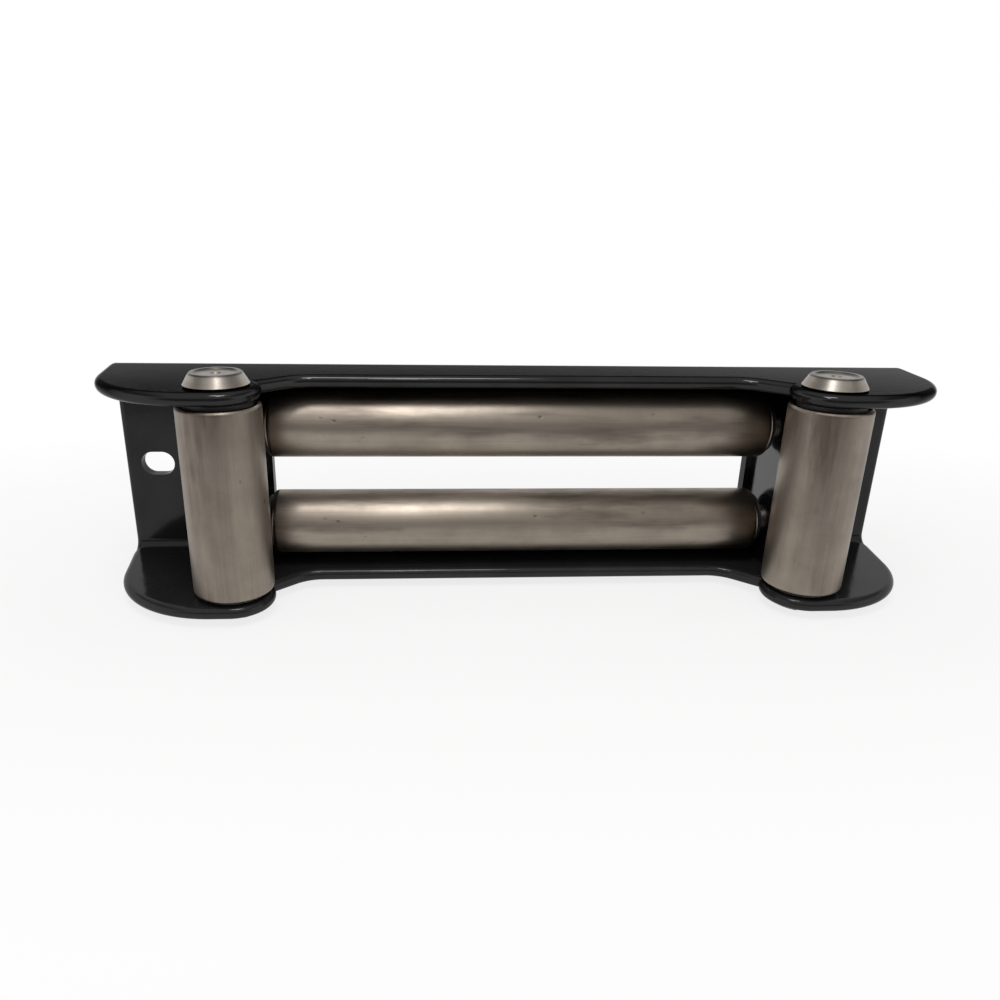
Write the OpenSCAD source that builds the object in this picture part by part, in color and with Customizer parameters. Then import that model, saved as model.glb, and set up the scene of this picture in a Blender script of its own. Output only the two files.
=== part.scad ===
// Roller fairlead: a pressed channel frame that carries two upright rollers on headed pins
// and two level rollers on axles between welded cheek plates.
// Millimetres, +Z up. X runs along the rope opening. Y = 0 is the rear mounting face, and
// the rope leaves towards -Y. The origin lies midway between the two mounting slots.

/* [Mounting] */
// Distance between the centres of the two mounting slots
slot_pitch = 254; // [220:1:320]
// Width of a slot, for an 8 mm bolt
slot_w = 8.4; // [6:0.1:11]
// Length of a slot, end to end
slot_l = 11.5; // [11.2:0.1:20]
// Plate left outside the centre of each slot
slot_edge = 11.2; // [10:0.1:20]

/* [Frame] */
// Thickness of the sheet that the frame is pressed from
sheet_t = 4.2; // [3:0.1:6]
// Inside radius of both bends
bend_r = 3; // [1.5:0.1:5]
// How far each flange end draws in from the plate end
lobe_inset = 2; // [0.5:0.1:4]
// Radius of the outer corner of each flange end
lobe_corner_r = 36; // [30:0.5:38]
// Radius where the end of a flange runs into the end of the plate
side_r = 20; // [12:0.5:28]
// Flange left round the front of an upright roller
lobe_lip = 0.15; // [0.05:0.05:4]
// Distance along the flange from a pin to the start of its neck
neck_run = 21.9; // [19:0.1:28]
// Angle of the neck to the middle edge of the flange
neck_angle = 42; // [34:1:50]
// Radius where the neck meets the middle edge
neck_r = 12; // [4:0.5:20]
// Height of the rope window in the back plate
window_h = 38; // [24:0.5:48]
// Radius of the window corners
window_r = 4; // [2:0.5:8]

/* [Rope opening] */
// Free height between the two level rollers
rope_gap = 12.8; // [8:0.1:40]
// Distance along X from a mounting slot to the pin beside it
pin_inset = 32.5; // [29:0.1:40]

/* [Level rollers] */
// Outer diameter of a level roller
level_d = 22.2; // [18:0.1:30]
// Rounding of the ends of a level roller
level_round = 2.2; // [1:0.1:2.5]
// Space between a level roller and the flange beside it
level_flange_gap = 3.2; // [2:0.1:8]
// Space between a level roller and the back plate
level_plate_gap = 0.9; // [0.5:0.1:3]
// Space between the end of a level roller and its cheek
level_end_gap = 3.7; // [2.5:0.1:6]

/* [Upright rollers] */
// Outer diameter of an upright roller
upright_d = 25.4; // [22:0.1:34]
// Rounding of the ends of an upright roller
upright_round = 1.4; // [0.5:0.1:2]
// Space between the upright and the level rollers, front to back
roller_gap = 2.7; // [1.5:0.1:6]

/* [Cheeks] */
// Thickness of a cheek plate
cheek_t = 4.2; // [3:0.1:6]
// Distance along X from a pin to the inner face of the cheek behind it
cheek_offset = 5.6; // [4:0.1:8]
// Cheek left in front of the axle centre
cheek_eye = 10.3; // [9:0.1:12]
// Radius of the front corners of a cheek
cheek_corner_r = 5; // [2:0.5:8]
// Back plate that shows inside each cheek, beside the window
window_ledge = 2.05; // [1:0.05:4]
// Leg of the welds on the outer side of each cheek
weld_leg = 3; // [2:0.1:4]
// Length left bare at both ends of each weld
weld_end = 1; // [0.5:0.1:2]

/* [Pins and axles] */
// Diameter of an upright pin
pin_d = 12; // [10:0.1:14]
// Largest diameter of a pin head
head_d = 19.5; // [18:0.1:24]
// Diameter at the top rim of a pin head
head_rim_d = 15.8; // [14:0.1:17]
// Height of a pin head
head_h = 4; // [3:0.1:6]
// Chamfer under a pin head
head_foot = 0.5; // [0.2:0.1:0.8]
// Rounding of the top rim of a pin head
head_round = 0.4; // [0.2:0.1:0.6]
// Diameter of the turned recess in a pin head
recess_d = 12; // [8:0.1:13]
// Depth of the turned recess
recess_h = 0.5; // [0.2:0.1:1]
// Diameter of the centre mark in the recess
centre_d = 3.6; // [2:0.1:5]
// Diameter of an axle
axle_d = 10; // [8:0.1:11]
// Diameter of an axle head
axle_head_d = 14; // [12.5:0.1:17]
// Thickness of an axle head
axle_head_t = 3; // [2:0.1:4]
// Chamfer on the ends of pins and axles
shaft_chamfer = 0.8; // [0.3:0.1:1.2]
// Length of shaft left beyond a retaining clip
shaft_tail = 1.6; // [1.2:0.1:3]

/* [Retaining clips] */
// Thickness of a clip
clip_t = 1.1; // [0.8:0.1:1.5]
// How far a clip stands out round its shaft
clip_lip = 3.3; // [2.5:0.1:4]
// Depth of the groove that a clip sits in
groove_depth = 1.3; // [0.8:0.1:1.8]
// Width of each of the three prongs of a clip
prong_w = 3; // [2:0.1:4]
// Width of the mouth of a clip, as a share of the groove diameter
clip_mouth = 0.85; // [0.7:0.01:0.95]

/* [Bushes] */
// Share of the space between a shaft and the outside of its roller that a bush takes
bush_share = 0.48; // [0.35:0.01:0.52]
// Length of a bush inside its roller
bush_l = 14; // [8:0.5:25]
// How far the bush flange stands out beyond its barrel
bush_lip = 1.2; // [0.6:0.1:1.3]
// Thickness of the bush flange
bush_flange_t = 1; // [0.6:0.1:1.5]

/* [Clearances] */
// Radial clearance between a bush and its shaft
running_fit = 0.05; // [0.02:0.01:0.1]
// Radial clearance between a shaft and the frame or cheek
shaft_fit = 0.1; // [0.05:0.01:0.3]
// Radial clearance between a bush and its roller
bush_fit = 0.01; // [0:0.01:0.05]
// End play of an upright roller at each flange
end_play = 0.3; // [0.2:0.05:0.6]
// Play of a clip in its groove
clip_play = 0.1; // [0.05:0.05:0.3]

/* [Hidden] */
$fn = 96;
paint_black = [0.04, 0.04, 0.045];
turned_steel = [0.55, 0.52, 0.49];
spring_steel = [0.3, 0.3, 0.31];
bush_nylon = [0.09, 0.09, 0.095];
cut = 1;
bend_clear = 0.8;
edge_r = sheet_t / 2;
rim_w = 2 * sheet_t;
rim_lap = 4;
rim_step = 0.02;
SIDES = [-1, 1];
ARC_STEPS = 4;
PRONGS = [90, 200, 340];

frame_h = rope_gap + 2 * (level_d + level_flange_gap + sheet_t);
half_h = frame_h / 2;
inner_h = half_h - sheet_t;
plate_w = slot_pitch + 2 * slot_edge;
half_w = plate_w / 2;

axle_y = -(sheet_t + level_plate_gap + level_d / 2);
axle_z = (rope_gap + level_d) / 2;
pin_x = slot_pitch / 2 - pin_inset;
pin_y = axle_y - level_d / 2 - roller_gap - upright_d / 2;
mid_edge = axle_y - level_d / 2;
lobe_r = upright_d / 2 + lobe_lip;
front_edge = pin_y - lobe_r;
bend_line = -sheet_t - bend_r;
bend_z = inner_h - bend_r;

pin_at = [pin_x, pin_y];
neck_dir = [cos(neck_angle), -sin(neck_angle)];
neck_side = [sin(neck_angle), cos(neck_angle)];
fillet_at = [pin_x - neck_run - neck_r * tan(neck_angle / 2), mid_edge - neck_r];
neck_start = fillet_at + neck_r * neck_side;
neck_l = (pin_at - neck_start) * neck_dir;
corner_at = [half_w - lobe_inset - lobe_corner_r, front_edge + lobe_corner_r];
side_at = [half_w - side_r, bend_line];
side_reach = side_at - corner_at;
side_angle = atan2(side_reach.y, side_reach.x) - acos((lobe_corner_r - side_r) / norm(side_reach));
side_out = [cos(side_angle), sin(side_angle)];

cheek_x = pin_x - cheek_offset;
cheek_out = cheek_x + cheek_t;
cheek_front = axle_y - cheek_eye;
cheek_relief = bend_r + bend_clear;
window_w = 2 * (cheek_x - window_ledge);

level_l = 2 * (cheek_x - level_end_gap);
upright_l = 2 * (inner_h - end_play - bush_flange_t);

groove_w = clip_t + clip_play;
pin_end = -half_h - groove_w - shaft_tail;
axle_end = cheek_out + groove_w + shaft_tail;

back_weld_l = 2 * (axle_z - clip_r(axle_d) - weld_end);
side_weld_front = cheek_front + cheek_corner_r + weld_end;
side_weld_l = -sheet_t - cheek_relief - weld_end - side_weld_front;

function arc(at, r, from, to) =
    [for (i = [0.5 : ARC_STEPS]) let (a = from + (to - from) * i / ARC_STEPS) at + r * [cos(a), sin(a)]];
function lap_angle(r) = asin(rim_lap / r);
function groove_d(shaft_d) = shaft_d - 2 * groove_depth;
function clip_r(shaft_d) = shaft_d / 2 + clip_lip;
function bore_r(roller_d, shaft_d) = shaft_d / 2 + bush_share * (roller_d - shaft_d) / 2;

// Channel section seen along X: a box open at the front, with its two rear corners bent.
module bent_box(depth, half, r) {
    translate([-depth, -half])
        square([depth - r, 2 * half]);
    translate([-r - cut, -half + r])
        square([r + cut, 2 * (half - r)]);
    for (s = SIDES)
        translate([-r, s * (half - r)])
            circle(r);
}

module channel(w) {
    rotate([90, 0, 90])
        linear_extrude(w, center = true)
            difference() {
                bent_box(-front_edge, half_h, bend_r + sheet_t);
                translate([-sheet_t, 0])
                    bent_box(-front_edge, inner_h, bend_r);
            }
}

// Right half of the flange seen from above, drawn in to lie under the flat of its rounded edges.
// The side is tangent to the large outer corner and to the arc at the plate end, the inner end is
// round about the pin, and the neck runs back to the middle.
module half_outline() {
    neck_gap = (neck_start + sheet_t * neck_side - pin_at) * neck_side;
    lobe_in = lobe_r - sheet_t;
    polygon(concat(
        [[-cut, 0], [-cut, mid_edge + sheet_t]],
        arc(fillet_at, neck_r + sheet_t, 90, 90 - neck_angle),
        arc(pin_at, lobe_in, 90 - neck_angle + acos(neck_gap / lobe_in), 270),
        arc(corner_at, lobe_corner_r - sheet_t, -90, side_angle),
        arc(side_at, side_r - sheet_t, side_angle, 0),
        [[half_w - sheet_t, 0]]
    ));
}

// Section of a rounded sheet edge, which lies at x = 0 with the sheet towards -x.
module edge_section() {
    translate([-rim_w, -edge_r])
        square([rim_w - edge_r, sheet_t]);
    translate([-edge_r, 0])
        circle(edge_r);
}

// Rounded edge from p to q, with the sheet on the left.
module straight_rim(p, q) {
    run = q - p;
    translate(q)
        rotate([90, 0, atan2(-run.x, run.y)])
            linear_extrude(norm(run))
                edge_section();
}

// Rounded edge of a disc about the origin.
module round_rim(r, from, to) {
    rotate(from)
        rotate_extrude(angle = to - from)
            intersection() {
                translate([r, 0])
                    edge_section();
                translate([0, -sheet_t])
                    square([r + cut, 2 * sheet_t]);
            }
}

// Rounded edge of a hole about the origin.
module hollow_rim(r, from, to) {
    rotate(from)
        rotate_extrude(angle = to - from)
            translate([r, 0])
                mirror([1, 0])
                    edge_section();
}

// Rounded edges of the right half of the upper flange, down to the end of its bend. Each piece laps
// the next one inside the sheet, and a step too small to see keeps their surfaces apart there.
module rim_half() {
    front = front_edge + rim_step;
    corner_lap = lap_angle(lobe_corner_r);
    translate([0, 0, half_h - edge_r]) {
        straight_rim([-cut, mid_edge], [fillet_at.x + rim_lap, mid_edge]);
        translate(fillet_at)
            hollow_rim(neck_r + rim_step, 90 - neck_angle, 90);
        straight_rim(neck_start - rim_lap * neck_dir, neck_start + neck_l * neck_dir);
        translate(pin_at)
            round_rim(lobe_r, 90, 270 + lap_angle(lobe_r));
        straight_rim([pin_x, front], [corner_at.x, front]);
        translate(corner_at)
            round_rim(lobe_corner_r, -90 - corner_lap, side_angle + corner_lap);
        straight_rim(
            corner_at + (lobe_corner_r - rim_step) * side_out,
            side_at + (side_r - rim_step) * side_out
        );
        translate(side_at)
            round_rim(side_r, 0, side_angle - lap_angle(side_r));
    }
    translate([half_w, bend_line, bend_z])
        rotate([0, 90, 0])
            rotate(90)
                rotate_extrude(angle = 90)
                    translate([bend_r + edge_r, 0])
                        rotate(90)
                            edge_section();
}

module plate_end() {
    translate([half_w, -edge_r, -bend_z])
        linear_extrude(2 * bend_z)
            edge_section();
}

module window() {
    w = window_w / 2 - window_r;
    h = window_h / 2 - window_r;
    rotate([90, 0, 0])
        linear_extrude(2 * (sheet_t + cut), center = true) {
            square([window_w, 2 * h], center = true);
            square([2 * w, window_h], center = true);
            for (sx = SIDES, sz = SIDES)
                translate([sx * w, sz * h])
                    circle(window_r);
        }
}

module slot() {
    run = slot_l - slot_w;
    rotate([90, 0, 0])
        linear_extrude(2 * (sheet_t + cut), center = true) {
            square([run, slot_w], center = true);
            for (s = SIDES)
                translate([s * run / 2, 0])
                    circle(d = slot_w);
        }
}

module half_edges() {
    rim_half();
    mirror([0, 0, 1])
        rim_half();
    plate_end();
}

module frame() {
    color(paint_black)
        difference() {
            union() {
                intersection() {
                    channel(plate_w - 2 * sheet_t);
                    linear_extrude(frame_h + 2 * cut, center = true) {
                        half_outline();
                        mirror([1, 0])
                            half_outline();
                    }
                }
                half_edges();
                mirror([1, 0, 0])
                    half_edges();
            }
            window();
            for (s = SIDES) {
                translate([s * slot_pitch / 2, 0, 0])
                    slot();
                translate([s * pin_x, pin_y, 0])
                    cylinder(h = frame_h + 2 * cut, d = pin_d + 2 * shaft_fit, center = true);
            }
        }
}

// Quarter-round weld along Z from z = 0 upwards, in the corner between +X and -Y.
module weld(l) {
    intersection() {
        cylinder(h = l, r = weld_leg);
        translate([-cut, -weld_leg, 0])
            cube([weld_leg + cut, weld_leg, l]);
    }
}

// Cheek plate on the right. Its rear corners clear the bends, and three welds hold it outside.
module cheek() {
    r = cheek_corner_r;
    back = -sheet_t;
    color(paint_black)
        difference() {
            union() {
                translate([cheek_x, 0, 0])
                    rotate([90, 0, 90])
                        linear_extrude(cheek_t) {
                            polygon([
                                [back, inner_h - cheek_relief], [back - cheek_relief, inner_h],
                                [cheek_front + r, inner_h], [cheek_front + r, -inner_h],
                                [back - cheek_relief, -inner_h], [back, cheek_relief - inner_h]
                            ]);
                            translate([cheek_front, r - inner_h])
                                square([2 * r, 2 * (inner_h - r)]);
                            for (s = SIDES)
                                translate([cheek_front + r, s * (inner_h - r)])
                                    circle(r);
                        }
                translate([cheek_out, back, -back_weld_l / 2])
                    weld(back_weld_l);
                translate([cheek_out, side_weld_front + side_weld_l, inner_h])
                    rotate([90, 0, 0])
                        weld(side_weld_l);
                mirror([0, 0, 1])
                    translate([cheek_out, side_weld_front + side_weld_l, inner_h])
                        rotate([90, 0, 0])
                            weld(side_weld_l);
            }
            for (s = SIDES)
                translate([cheek_x - cut, axle_y, s * axle_z])
                    rotate([0, 90, 0])
                        cylinder(h = cheek_t + 2 * cut, d = axle_d + 2 * shaft_fit);
        }
}

// Ring cut for a retaining clip, on a shaft along Z, from z = 0 upwards.
module groove(shaft_d) {
    difference() {
        cylinder(h = groove_w, d = shaft_d + 2 * cut);
        translate([0, 0, -cut])
            cylinder(h = groove_w + 2 * cut, d = groove_d(shaft_d));
    }
}

// Headed pin on the Z axis, with its conical head on the upper flange.
module pin() {
    rim = head_rim_d / 2;
    top = half_h + head_h;
    color(turned_steel)
        difference() {
            rotate_extrude()
                polygon([
                    [0, pin_end], [pin_d / 2 - shaft_chamfer, pin_end],
                    [pin_d / 2, pin_end + shaft_chamfer], [pin_d / 2, half_h],
                    [head_d / 2 - head_foot, half_h], [head_d / 2, half_h + head_foot],
                    [rim, top - head_round], [rim - head_round, top],
                    [recess_d / 2 + recess_h, top], [recess_d / 2, top - recess_h],
                    [centre_d / 2, top - recess_h], [0, top - recess_h - centre_d / 2]
                ]);
            translate([0, 0, -half_h - groove_w])
                groove(pin_d);
        }
}

// Axle along X, headed outside the left cheek and grooved outside the right one.
module axle() {
    head = -cheek_out - axle_head_t;
    color(turned_steel)
        rotate([0, 90, 0])
            difference() {
                rotate_extrude()
                    polygon([
                        [0, head], [axle_head_d / 2 - shaft_chamfer, head],
                        [axle_head_d / 2, head + shaft_chamfer], [axle_head_d / 2, -cheek_out],
                        [axle_d / 2, -cheek_out], [axle_d / 2, axle_end - shaft_chamfer],
                        [axle_d / 2 - shaft_chamfer, axle_end], [0, axle_end]
                    ]);
                translate([0, 0, cheek_out])
                    groove(axle_d);
            }
}

// Three-pronged retaining clip for a shaft along Z, its mouth towards -Y.
module clip(shaft_d) {
    outer = clip_r(shaft_d);
    seat = groove_d(shaft_d) / 2 + running_fit;
    hollow = (seat + outer) / 2;
    mouth = clip_mouth * groove_d(shaft_d);
    color(spring_steel)
        linear_extrude(clip_t)
            difference() {
                circle(outer);
                difference() {
                    circle(hollow);
                    for (a = PRONGS)
                        rotate(a)
                            translate([0, -prong_w / 2])
                                square([outer, prong_w]);
                }
                circle(seat);
                translate([-mouth / 2, -2 * outer])
                    square([mouth, 2 * outer]);
            }
}

// Roller tube along Z with rounded ends and a bore of the given radius for its bushes.
module roller(d, l, r, bore) {
    color(turned_steel)
        rotate_extrude()
            difference() {
                union() {
                    translate([0, -l / 2])
                        square([d / 2 - r, l]);
                    translate([0, r - l / 2])
                        square([d / 2, l - 2 * r]);
                    for (s = SIDES)
                        translate([d / 2 - r, s * (l / 2 - r)])
                            circle(r);
                }
                translate([0, -l / 2 - cut])
                    square([bore, l + 2 * cut]);
            }
}

// Flanged bush along Z in a bore of the given radius, its flange on the roller end at z = 0.
module bush(shaft_d, bore) {
    outer = bore - bush_fit;
    inner = shaft_d / 2 + running_fit;
    color(bush_nylon)
        rotate_extrude()
            polygon([
                [inner, -bush_l], [outer, -bush_l], [outer, 0], [outer + bush_lip, 0],
                [outer + bush_lip, bush_flange_t], [inner, bush_flange_t]
            ]);
}

// Places a shape made about Z on a pin, or a shape made along Z on an axle.
module at_pin(side) {
    translate([side * pin_x, pin_y, 0])
        children();
}

module at_axle(side) {
    translate([0, axle_y, side * axle_z])
        children();
}

module pin_clip(side) {
    at_pin(side)
        translate([0, 0, -half_h - clip_t])
            clip(pin_d);
}

module axle_clip(side) {
    at_axle(side)
        translate([cheek_out, 0, 0])
            rotate([90, 0, 90])
                clip(axle_d);
}

module upright_roller(side) {
    at_pin(side)
        roller(upright_d, upright_l, upright_round, bore_r(upright_d, pin_d));
}

module upright_bush(side, end) {
    at_pin(side)
        rotate([end > 0 ? 0 : 180, 0, 0])
            translate([0, 0, upright_l / 2])
                bush(pin_d, bore_r(upright_d, pin_d));
}

module level_roller(side) {
    at_axle(side)
        rotate([0, 90, 0])
            roller(level_d, level_l, level_round, bore_r(level_d, axle_d));
}

module level_bush(side, end) {
    at_axle(side)
        rotate([0, end * 90, 0])
            translate([0, 0, level_l / 2])
                bush(axle_d, bore_r(level_d, axle_d));
}

frame();
mirror([1, 0, 0]) cheek();  // left_cheek
cheek();  // right_cheek
at_pin(-1) pin();  // left_pin
at_pin(1) pin();  // right_pin
pin_clip(-1);  // left_pin_clip
pin_clip(1);  // right_pin_clip
at_axle(1) axle();  // upper_axle
at_axle(-1) axle();  // lower_axle
axle_clip(1);  // upper_axle_clip
axle_clip(-1);  // lower_axle_clip
upright_roller(-1);  // left_roller
upright_bush(-1, 1);  // left_top_bush
upright_bush(-1, -1);  // left_bottom_bush
upright_roller(1);  // right_roller
upright_bush(1, 1);  // right_top_bush
upright_bush(1, -1);  // right_bottom_bush
level_roller(1);  // upper_roller
level_bush(1, -1);  // upper_left_bush
level_bush(1, 1);  // upper_right_bush
level_roller(-1);  // lower_roller
level_bush(-1, -1);  // lower_left_bush
level_bush(-1, 1);  // lower_right_bush
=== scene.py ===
import math

import bpy
from mathutils import Matrix, Vector


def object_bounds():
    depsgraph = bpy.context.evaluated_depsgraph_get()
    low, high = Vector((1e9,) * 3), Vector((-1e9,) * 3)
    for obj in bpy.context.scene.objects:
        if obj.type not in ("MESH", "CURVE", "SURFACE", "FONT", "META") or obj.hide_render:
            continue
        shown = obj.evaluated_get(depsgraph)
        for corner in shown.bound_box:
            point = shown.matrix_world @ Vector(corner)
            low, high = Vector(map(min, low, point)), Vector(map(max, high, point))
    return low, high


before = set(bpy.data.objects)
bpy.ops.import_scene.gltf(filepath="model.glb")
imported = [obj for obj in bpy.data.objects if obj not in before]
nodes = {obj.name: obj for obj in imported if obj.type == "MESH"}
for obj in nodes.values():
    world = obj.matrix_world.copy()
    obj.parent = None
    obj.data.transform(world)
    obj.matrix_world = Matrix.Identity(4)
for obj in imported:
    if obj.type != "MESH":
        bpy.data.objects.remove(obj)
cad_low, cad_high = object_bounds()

scene = bpy.context.scene
MM = 0.001

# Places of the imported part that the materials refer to, in metres.
PIN_X, PIN_Y = 94.5 * MM, -42.7 * MM
AXLE_Y, AXLE_Z = -16.2 * MM, 17.5 * MM
UPRIGHT_END = 31.5 * MM
# Distances inside a bar's end where the painted highlight on its rims begins and where it is full.
RIM_HIGHLIGHT_START, RIM_HIGHLIGHT_FULL = 1.5 * MM, 1.0 * MM
# Heights where the painted shade on the top of the frame begins and where it is full.
TOP_SHADE_START, TOP_SHADE_FULL = 33 * MM, 35 * MM
HEAD_TOP = cad_high.z
# Heights where the painted shade on the top of the pin heads begins and where it is full.
FACE_SHADE_START, FACE_SHADE_FULL = HEAD_TOP - 0.7 * MM, HEAD_TOP - 0.3 * MM
FLOOR_Z = cad_low.z

# Depths of the bump maps.
PEEL_DEPTH = 0.02 * MM
NICK_DEPTH = 0.06 * MM
RING_DEPTH = 0.01 * MM
FINE_DEPTH = 0.02 * MM

# Moves the smears and smudges off the places where the other noises are centred.
SMEAR_SHIFT = (0.013, 0.007, 0.021)
PAINT_SHIFT = (0.01, 0.02, 0.03)


class Graph:
    """Builds the nodes of a material or of the world, link by link."""

    def __init__(self, tree):
        self.tree = tree

    def node(self, kind, **settings):
        made = self.tree.nodes.new("ShaderNode" + kind)
        for key, value in settings.items():
            setattr(made, key, value)
        return made

    def link(self, source, target):
        self.tree.links.new(source, target)

    def math(self, kind, a, b=0):
        node = self.node("Math", operation=kind)
        for socket, value in zip(node.inputs, (a, b)):
            if isinstance(value, (int, float)):
                socket.default_value = value
            else:
                self.link(value, socket)
        return node.outputs[0]

    def spread(self, value, low, high, start=0.3, end=0.7, smooth=False):
        """Maps the range from start to end to the range from low to high."""
        node = self.node("MapRange", interpolation_type="SMOOTHSTEP" if smooth else "LINEAR")
        node.inputs["From Min"].default_value = start
        node.inputs["From Max"].default_value = end
        node.inputs["To Min"].default_value = low
        node.inputs["To Max"].default_value = high
        self.link(value, node.inputs["Value"])
        return node.outputs["Result"]

    def ramp(self, value, stops):
        node = self.node("ValToRGB")
        ends = node.color_ramp.elements
        while len(ends) < len(stops):
            ends.new(0.5)
        for end, (place, colour) in zip(ends, stops):
            end.position = place
            end.color = (*colour, 1)
        self.link(value, node.inputs["Fac"])
        return node.outputs["Color"]

    def split(self, vector):
        node = self.node("SeparateXYZ")
        self.link(vector, node.inputs[0])
        return node.outputs

    def times(self, vector, factors):
        node = self.node("VectorMath", operation="MULTIPLY")
        node.inputs[1].default_value = factors
        self.link(vector, node.inputs[0])
        return node.outputs[0]

    def length(self, vector):
        node = self.node("VectorMath", operation="LENGTH")
        self.link(vector, node.inputs[0])
        return node.outputs["Value"]

    def seen(self):
        """1 for rays from the eye, mirrors and glass, and 0 for those that carry light"""
        path = self.node("LightPath").outputs
        mirrored = self.math("MAXIMUM", path["Is Camera Ray"], path["Is Glossy Ray"])
        return self.math("MAXIMUM", mirrored, path["Is Transmission Ray"])


class Surface(Graph):
    """A material with one Principled shader."""

    def __init__(self, name):
        self.mat = bpy.data.materials.new(name)
        self.mat.use_nodes = True
        super().__init__(self.mat.node_tree)
        self.tree.nodes.clear()
        self.shader = self.node("BsdfPrincipled")
        self.link(self.shader.outputs[0], self.node("OutputMaterial").inputs["Surface"])
        self.coord = self.node("TexCoord").outputs["Object"]

    def set(self, **values):
        for key, value in values.items():
            self.shader.inputs[key.replace("_", " ")].default_value = value

    def feed(self, name, value):
        self.link(value, self.shader.inputs[name])

    def mapped(self, scale, offset=(0, 0, 0)):
        node = self.node("Mapping", vector_type="POINT")
        node.inputs["Location"].default_value = tuple(-o * s for o, s in zip(offset, scale))
        node.inputs["Scale"].default_value = scale
        self.link(self.coord, node.inputs["Vector"])
        return node.outputs[0]

    def noise(self, vector, scale=1.0, detail=3.0, rough=0.55):
        node = self.node("TexNoise")
        node.inputs["Scale"].default_value = scale
        node.inputs["Detail"].default_value = detail
        node.inputs["Roughness"].default_value = rough
        self.link(vector, node.inputs["Vector"])
        return node.outputs["Fac"]

    def nicks(self, vector):
        """1 on sound metal and 0 in small pits, most of which a broad noise leaves out"""
        node = self.node("TexVoronoi")
        node.inputs["Scale"].default_value = 1.0
        self.link(vector, node.inputs["Vector"])
        pit = self.spread(node.outputs["Distance"], 1, 0, 0.06, 0.16)
        few = self.spread(self.noise(vector, 0.45, 1), 0, 1, 0.6, 0.66)
        return self.math("SUBTRACT", 1, self.math("MULTIPLY", pit, few))

    def shade(self, colour, by):
        """colour times a grey factor"""
        node = self.node("VectorMath", operation="SCALE")
        self.link(colour, node.inputs[0])
        self.link(by, node.inputs["Scale"])
        return node.outputs[0]

    def bump(self, height, depth):
        node = self.node("Bump")
        node.inputs["Distance"].default_value = depth
        node.inputs["Strength"].default_value = 1.0
        self.link(height, node.inputs["Height"])
        self.feed("Normal", node.outputs[0])


def scaled(colour, *factors):
    """colour times one factor, or times one factor for each channel"""
    return tuple(c * f for c, f in zip(colour, factors if len(factors) == 3 else factors * 3))


def paint(name, low, high, shaded_top=False, **constants):
    """Gloss black paint with a slight orange peel. On the top of the frame a higher metallic share
    damps its grazing sheen, a painted shade.
    """
    t = Surface(name)
    t.set(**constants)
    if shaded_top:
        # Painted shade: a higher metallic share on the top of the frame damps its grazing sheen.
        height = t.split(t.coord)["Z"]
        t.feed("Metallic", t.spread(height, 0.5, 0.97, TOP_SHADE_START, TOP_SHADE_FULL))
    broad = t.noise(t.mapped((60, 60, 60)), detail=4)
    stops = [(0.3, (low, low, low * 1.03)), (0.7, (high, high, high))]
    t.feed("Base Color", t.ramp(broad, stops))
    smudge = t.noise(t.mapped((110, 90, 130), PAINT_SHIFT), detail=5, rough=0.65)
    t.feed("Roughness", t.spread(smudge, 0.09, 0.18))
    t.bump(t.noise(t.mapped((420, 420, 420)), detail=2, rough=0.5), PEEL_DEPTH)
    return t.mat


def drawn(name, axis, base, rough, centre, grained=0.65, end=None):
    """Drawn steel tube or bar: fine grain and soft streaks along the axis, smudges and a few nicks.
    Where the bar ends at the given distance from its middle, the rims get a brighter colour, a
    painted highlight, and a smoother finish."""
    t = Surface(name)

    def stretched(along, across, offset):
        return t.mapped([along if axis == i else across for i in range(3)], offset)

    grain = t.noise(stretched(30, 2400, centre), detail=2, rough=0.6)
    streaks = t.noise(stretched(16, 230, centre), detail=5, rough=0.6)
    smear = t.noise(stretched(13, 85, SMEAR_SHIFT), detail=4, rough=0.6)
    smudge = t.noise(t.mapped((70, 70, 70), SMEAR_SHIFT), detail=5, rough=0.65)
    nicks = t.nicks(stretched(150, 260, centre))
    dark = scaled(base, 0.58, 0.56, 0.55)
    light = scaled(base, 1.08, 1.09, 1.07)
    colour = t.ramp(smear, [(0.34, dark), (0.47, base), (0.68, light)])
    by = t.math("MULTIPLY", t.spread(grain, 0.95, 1.04), t.spread(streaks, 0.84, 1.08))
    by = t.math("MULTIPLY", by, t.spread(smudge, 0.86, 1.08))
    worn = t.spread(smudge, rough + 0.05, rough - 0.03)
    if end is not None:
        away = t.math("ABSOLUTE", t.split(t.coord)[axis])
        rim_highlight = (end - RIM_HIGHLIGHT_START, end - RIM_HIGHLIGHT_FULL)
        # Painted highlight: the rims' colour is brightened, and their finish is made smoother.
        by = t.math("MULTIPLY", by, t.spread(away, 1, 1.35, *rim_highlight))
        worn = t.math("MULTIPLY", worn, t.spread(away, 1, 0.42, *rim_highlight))
    by = t.math("MULTIPLY", by, t.spread(nicks, 0.45, 1, 0, 1))
    t.feed("Base Color", t.shade(colour, by))
    t.set(Metallic=1.0, Anisotropic=grained)
    t.feed("Roughness", worn)
    t.feed("Tangent", t.node("Tangent", direction_type="RADIAL", axis="XYZ"[axis]).outputs[0])
    t.bump(t.math("ADD", nicks, t.spread(grain, -0.02, 0.02)), NICK_DEPTH)
    return t.mat


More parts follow.
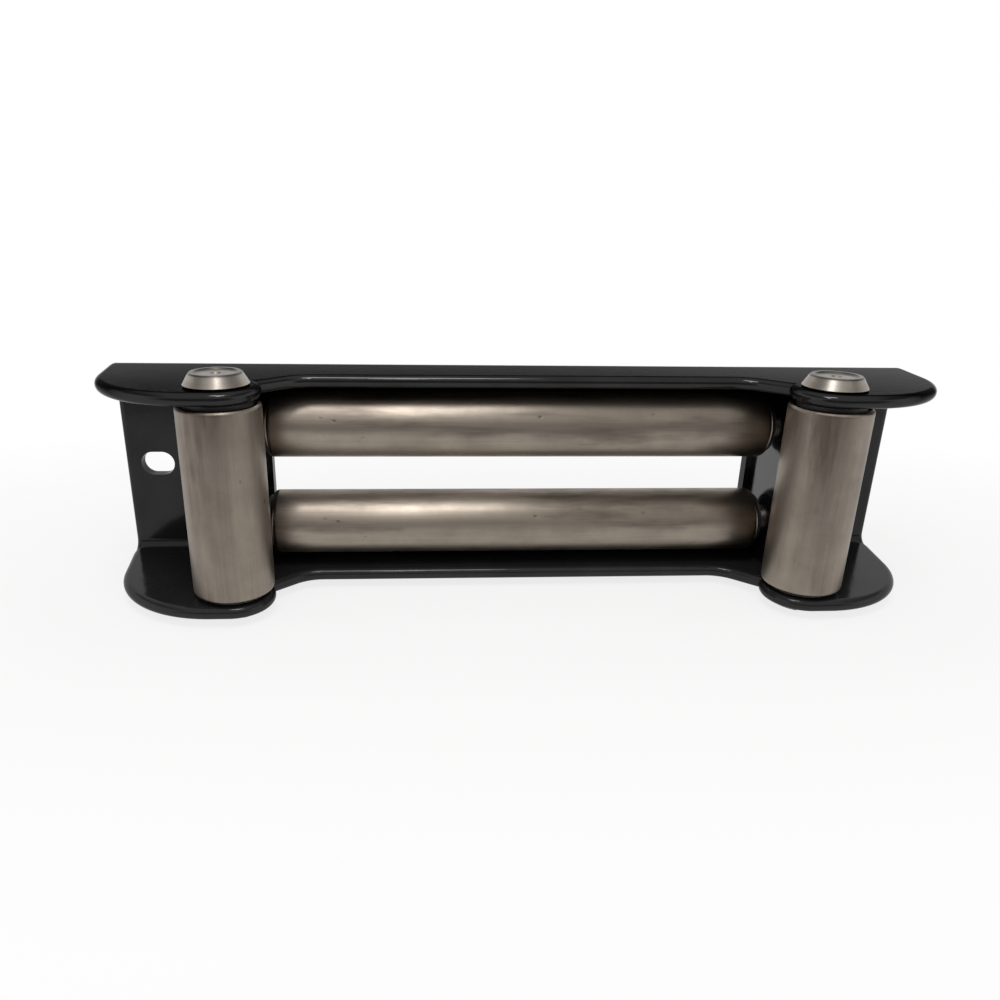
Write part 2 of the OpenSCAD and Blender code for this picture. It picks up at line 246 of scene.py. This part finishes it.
def faced(name, centre, base, rough):
    """Bright turned pin steel, with rings about the pin's own axis and painted shade that darkens
    the top of its head.
    """
    rings_per_metre = 2600
    t = Surface(name)
    radius = t.length(t.times(t.mapped((1, 1, 1), centre), (1, 1, 0)))
    height = t.split(t.coord)["Z"]
    place = t.node("CombineXYZ")
    t.link(t.math("MULTIPLY", radius, rings_per_metre), place.inputs[0])
    t.link(t.math("MULTIPLY", height, rings_per_metre), place.inputs[1])
    rings = t.noise(place.outputs[0], detail=2, rough=0.6)
    smudge = t.noise(t.mapped((150, 150, 150)), detail=4)
    colour = t.ramp(smudge, [(0.35, scaled(base, 0.8)), (0.65, base)])
    # Painted shade: the top of the pin head is darkened.
    shaded_face = t.spread(height, 1, 0.3, FACE_SHADE_START, FACE_SHADE_FULL)
    t.feed("Base Color", t.shade(colour, t.math("MULTIPLY", shaded_face, t.spread(rings, 0.92, 1.04))))
    t.set(Metallic=1.0)
    t.feed("Roughness", t.spread(smudge, rough + 0.05, rough - 0.03))
    t.bump(rings, RING_DEPTH)
    return t.mat


def plain(name, base, rough, grain, metallic):
    """Small hidden pieces: clips and bushes."""
    t = Surface(name)
    fine = t.noise(t.mapped((grain, grain, grain)), detail=4, rough=0.6)
    t.feed("Base Color", t.ramp(fine, [(0.35, scaled(base, 0.7)), (0.65, base)]))
    t.set(Metallic=metallic)
    t.feed("Roughness", t.spread(fine, rough + 0.06, rough - 0.05))
    t.bump(fine, FINE_DEPTH)
    return t.mat


UPRIGHT = (0.26, 0.223, 0.187)
LEVEL = (0.3, 0.258, 0.216)
BRIGHT = (0.34, 0.308, 0.272)
SPRING = (0.12, 0.12, 0.125)
NYLON = (0.018, 0.018, 0.019)
PINS = {"left": (-PIN_X, PIN_Y, 0), "right": (PIN_X, PIN_Y, 0)}
AXLES = {"upper": (0, AXLE_Y, AXLE_Z), "lower": (0, AXLE_Y, -AXLE_Z)}
X_AXIS, Z_AXIS = 0, 2

# Materials by the last word of a node's name, and for the steel also by its first word.
shared = {
    # The frame's paint gets the painted shade on its top.
    "frame": paint("black_paint", 0.03, 0.04, True, Specular_Tint=(0.2, 0.2, 0.2, 1)),
    "cheek": paint("cheek_paint", 0.005, 0.008, Metallic=0.0, IOR=1.5),
    "clip": plain("spring_steel", SPRING, 0.35, 900, 1.0),
    "bush": plain("bush_nylon", NYLON, 0.5, 1600, 0.0),
}
sided = {"roller": {}, "axle": {}, "pin": {}}
for side, centre in PINS.items():
    sided["roller"][side] = drawn(
        f"{side}_upright_steel", Z_AXIS, UPRIGHT, 0.42, centre, 0.3, UPRIGHT_END)
    sided["pin"][side] = faced(f"{side}_pin_steel", centre, BRIGHT, 0.32)
for side, centre in AXLES.items():
    sided["roller"][side] = drawn(f"{side}_level_steel", X_AXIS, LEVEL, 0.33, centre, 0.78)
    sided["axle"][side] = drawn(f"{side}_axle_steel", X_AXIS, BRIGHT, 0.3, centre)

for name, obj in nodes.items():
    words = name.split("_")
    kind = words[-1]
    mat = shared[kind] if kind in shared else sided[kind][words[0]]
    obj.data.materials.clear()
    obj.data.materials.append(mat)

# The dark zone of the stage begins ahead of the part and opens like a fan from FAN_FROM on.
FAN_FROM = 0.35
DARK_FULL, DARK_START = -0.3, -0.17
DARK = 0.1
FLOOR_DARK, FLOOR_PALE = (0.1, 0.1, 0.1), (0.86, 0.86, 0.86)
# The oval round the part in which its shadow shows.
OVAL = (0.55, 1, 1)
OVAL_IN, OVAL_OUT = 0.06, 0.24
SHADOW_WHITE = 0.8


def stage_white(name):
    """White to the eye and in mirrors, and a plain pale surface to the light. Near the part the pale
    surface shows through, so that its shadow stays."""
    mat = bpy.data.materials.new(name)
    mat.use_nodes = True
    g = Graph(mat.node_tree)
    g.tree.nodes.clear()
    place = g.node("TexCoord").outputs["Object"]
    fan = g.math("MAXIMUM", g.math("DIVIDE", g.length(place), FAN_FROM), 1.0)
    forward = g.math("DIVIDE", g.split(place)["Y"], fan)
    ahead = g.spread(forward, DARK, 1.0, DARK_FULL, DARK_START, smooth=True)
    pale = g.node("BsdfDiffuse")
    g.link(g.ramp(ahead, [(0, FLOOR_DARK), (1, FLOOR_PALE)]), pale.inputs["Color"])
    glow = g.node("Emission")
    glow.inputs["Color"].default_value = (1, 1, 1, 1)
    glow.inputs["Strength"].default_value = 1.0
    far = g.length(g.times(place, OVAL))
    share = g.spread(far, SHADOW_WHITE, 1.0, OVAL_IN, OVAL_OUT, smooth=True)
    mix = g.node("MixShader")
    g.link(g.math("MULTIPLY", g.math("MULTIPLY", g.seen(), share), ahead), mix.inputs[0])
    g.link(pale.outputs[0], mix.inputs[1])
    g.link(glow.outputs[0], mix.inputs[2])
    g.link(mix.outputs[0], g.node("OutputMaterial").inputs["Surface"])
    return mat


# A pale floor that sweeps up into the backdrop.
HALF, FRONT, BACK, SWEEP, TOP = 4.0, -4.0, 1.6, 0.6, 2.0
SWEEP_STEPS = 12
profile = [(FRONT, FLOOR_Z), (BACK, FLOOR_Z)]
for i in range(1, SWEEP_STEPS + 1):
    a = math.radians(90 * i / SWEEP_STEPS)
    profile.append((BACK + SWEEP * math.sin(a), FLOOR_Z + SWEEP * (1 - math.cos(a))))
profile.append((BACK + SWEEP, TOP))
mesh = bpy.data.meshes.new("stage")
mesh.from_pydata(
    [(x, y, z) for y, z in profile for x in (-HALF, HALF)], [],
    [(2 * i, 2 * i + 1, 2 * i + 3, 2 * i + 2) for i in range(len(profile) - 1)])
mesh.polygons.foreach_set("use_smooth", [True] * len(mesh.polygons))
stage = bpy.data.objects.new("stage", mesh)
scene.collection.objects.link(stage)
stage.data.materials.append(stage_white("stage_white"))


def area_light(name, place, target, size, power, length=None):
    """A disk, or a rectangle where a length is given."""
    data = bpy.data.lights.new(name, "AREA")
    data.shape = "DISK" if length is None else "RECTANGLE"
    data.size = size if length is None else length
    data.size_y = size
    data.energy = power
    obj = bpy.data.objects.new(name, data)
    scene.collection.objects.link(obj)
    obj.location = place
    obj.rotation_mode = "QUATERNION"
    obj.rotation_quaternion = (Vector(target) - Vector(place)).to_track_quat("-Z", "Y")


# A lamp above the part, a little in front of it, and a small one lower down.
LAMP_TARGET = (-0.03, -0.03, 0)
area_light("high_lamp", (-0.048, -0.21, 0.43), LAMP_TARGET, 0.09, 0.55, 0.2)
area_light("low_lamp", (-0.048, -0.211, 0.26), LAMP_TARGET, 0.04, 0.06)

# A soft sky that is dark near the horizon and dimmer to the sides. To the eye and in mirrors it is
# white near the horizon, all round but in front.
world = bpy.data.worlds.new("studio")
scene.world = world
world.use_nodes = True
sky = Graph(world.node_tree)
toward = sky.split(sky.node("TexCoord").outputs["Generated"])
rise = sky.spread(toward["Z"], 0.12, 0.8, 0.1, 0.55, smooth=True)
dim = sky.spread(sky.math("ABSOLUTE", toward["X"]), 1.0, 0.35, 0.45, 0.75, smooth=True)
around = sky.spread(toward["Y"], 0.0, 1.0, -0.85, -0.5, smooth=True)
near_horizon = sky.spread(toward["Z"], 1.0, 0.0, 0.4, 0.55, smooth=True)
white = sky.math("MULTIPLY", sky.math("MULTIPLY", sky.seen(), around), near_horizon)
blend = sky.node("Mix")
sky.link(white, blend.inputs["Factor"])
sky.link(sky.math("MULTIPLY", rise, dim), blend.inputs["A"])
blend.inputs["B"].default_value = 1.0
background = sky.tree.nodes["Background"]
sky.link(blend.outputs["Result"], background.inputs["Strength"])
background.inputs["Color"].default_value = (1, 0.99, 0.97, 1)

# The photograph's camera, fitted to its straight edges. The focal length is in frame widths.
PITCH, YAW, ROLL = (math.radians(a) for a in (20.139, 3.804, -1.036))
CAMERA_PLACE = Vector((-35.71, -277.72, 83.32)) * MM
FOCAL = 0.78622
ahead = Vector((
    math.sin(YAW) * math.cos(PITCH), math.cos(YAW) * math.cos(PITCH), -math.sin(PITCH)))
level = Vector((math.cos(YAW), -math.sin(YAW), 0))
down = ahead.cross(level)
right = math.cos(ROLL) * level + math.sin(ROLL) * down
up = math.sin(ROLL) * level - math.cos(ROLL) * down
lens = bpy.data.cameras.new("camera")
lens.sensor_width = 36.0
lens.lens = FOCAL * lens.sensor_width
lens.shift_x = 0.03502
lens.shift_y = 0.00726
lens.clip_start = 0.01
lens.clip_end = 20.0
camera = bpy.data.objects.new("camera", lens)
scene.collection.objects.link(camera)
turn = Matrix((right, up, -ahead)).transposed().to_4x4()
camera.matrix_world = Matrix.Translation(CAMERA_PLACE) @ turn
bpy.context.scene.camera = camera
bpy.context.scene.view_settings.view_transform = "Standard"
